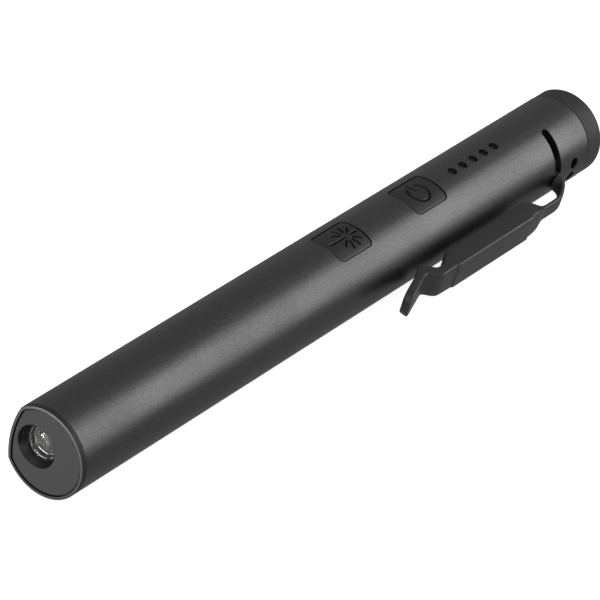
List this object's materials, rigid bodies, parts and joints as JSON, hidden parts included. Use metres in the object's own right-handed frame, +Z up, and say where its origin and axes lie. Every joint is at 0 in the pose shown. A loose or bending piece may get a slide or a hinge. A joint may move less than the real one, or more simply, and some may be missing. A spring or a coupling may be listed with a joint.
{
  "type": "penlight",
  "caption": "Slim rechargeable penlight with a D-section tube, off-centre spot lens, flush side buttons, level gauge and a swivelling magnetic pocket clip",
  "frame": {"origin": "On the tube's axis, in the middle of the plain round grip between the bezel and the front button", "axes": "+X along the tube from the lens to the tail, +Z up as it lies on a table on its tube and the clip's block, -Y towards the clip"},
  "size_m": [0.165, 0.0237, 0.018],
  "materials": {
    "tube_anodised": "satin black anodised, fine bead blast",
    "bezel_anodised": "black anodised ring, bright turned edge",
    "panel_polymer": "matte moulded black",
    "clear_lens": "clear polished window",
    "seal_rubber": "soft black rubber",
    "mirror_cup": "vacuum metallised facets",
    "lamp_phosphor": "yellow phosphor under clear silicone",
    "lamp_board": "white solder mask on aluminium",
    "bare_aluminium": "turned, bare",
    "lead_insulation": "thin insulated wire",
    "contact_plate": "plated spring sheet",
    "cell_sleeve": "cell can in a blue shrink sleeve",
    "foam_pad": "closed-cell foam",
    "inner_polymer": "moulded dark grey",
    "board_laminate": "green solder mask",
    "chip_resin": "black package resin",
    "screw_steel": "plated steel",
    "button_rubber": "soft-touch black moulding",
    "switch_nylon": "pale nylon",
    "plunger_polymer": "black nylon",
    "smoked_polymer": "smoked light guide",
    "clip_polymer": "satin moulded black",
    "shoe_acetal": "slippery moulded polymer",
    "magnet_nickel": "nickel plated",
    "cap_polymer": "satin moulded black",
    "socket_steel": "drawn shell"
  },
  "bodies": {
    "housing": {"barrel": "tube_anodised", "head_bezel": "bezel_anodised", "front_panel": "panel_polymer", "lens": "clear_lens", "lens_seal": "seal_rubber", "reflector": "mirror_cup", "led_emitter": "lamp_phosphor", "led_board": "lamp_board", "heat_sink": "bare_aluminium", "led_leads": "lead_insulation", "front_contact": "contact_plate", "battery_cell": "cell_sleeve", "rear_contact": "contact_plate", "rear_pad": "foam_pad", "chassis": "inner_polymer", "circuit_board": "board_laminate", "board_chips": "chip_resin", "board_screws": "screw_steel", "button_guide": "inner_polymer", "front_switch": "switch_nylon", "rear_switch": "switch_nylon", "gauge_leds": "lamp_phosphor", "light_pipe": "smoked_polymer", "swivel_hub": "inner_polymer", "hub_ring": "seal_rubber", "tail_cap": "cap_polymer", "tail_seal": "seal_rubber", "charge_board": "board_laminate", "charge_socket": "socket_steel", "charge_leads": "lead_insulation"},
    "front_key": {"front_button": "button_rubber", "front_plunger": "plunger_polymer"},
    "rear_key": {"rear_button": "button_rubber", "rear_plunger": "plunger_polymer"},
    "pocket_clip": {"clip": "clip_polymer", "clip_shoe": "shoe_acetal", "clip_screw": "screw_steel", "clip_magnet": "magnet_nickel", "magnet_cover": "clip_polymer"}
  },
  "joints": [
    {"name": "front_button_press", "type": "slide", "parent": "housing", "child": "front_key", "axis": [0, 0.4123, -0.9111], "range_m": [0, 0.0004], "stiffness_N_per_m": 1500},
    {"name": "rear_button_press", "type": "slide", "parent": "housing", "child": "rear_key", "axis": [0, 0.4123, -0.9111], "range_m": [0, 0.0004], "stiffness_N_per_m": 1500},
    {"name": "clip_swivel", "type": "hinge", "parent": "housing", "child": "pocket_clip", "pos_m": [0.10821, 0, 0], "axis": [-1, 0, 0], "range_deg": [0, 60]}
  ]
}
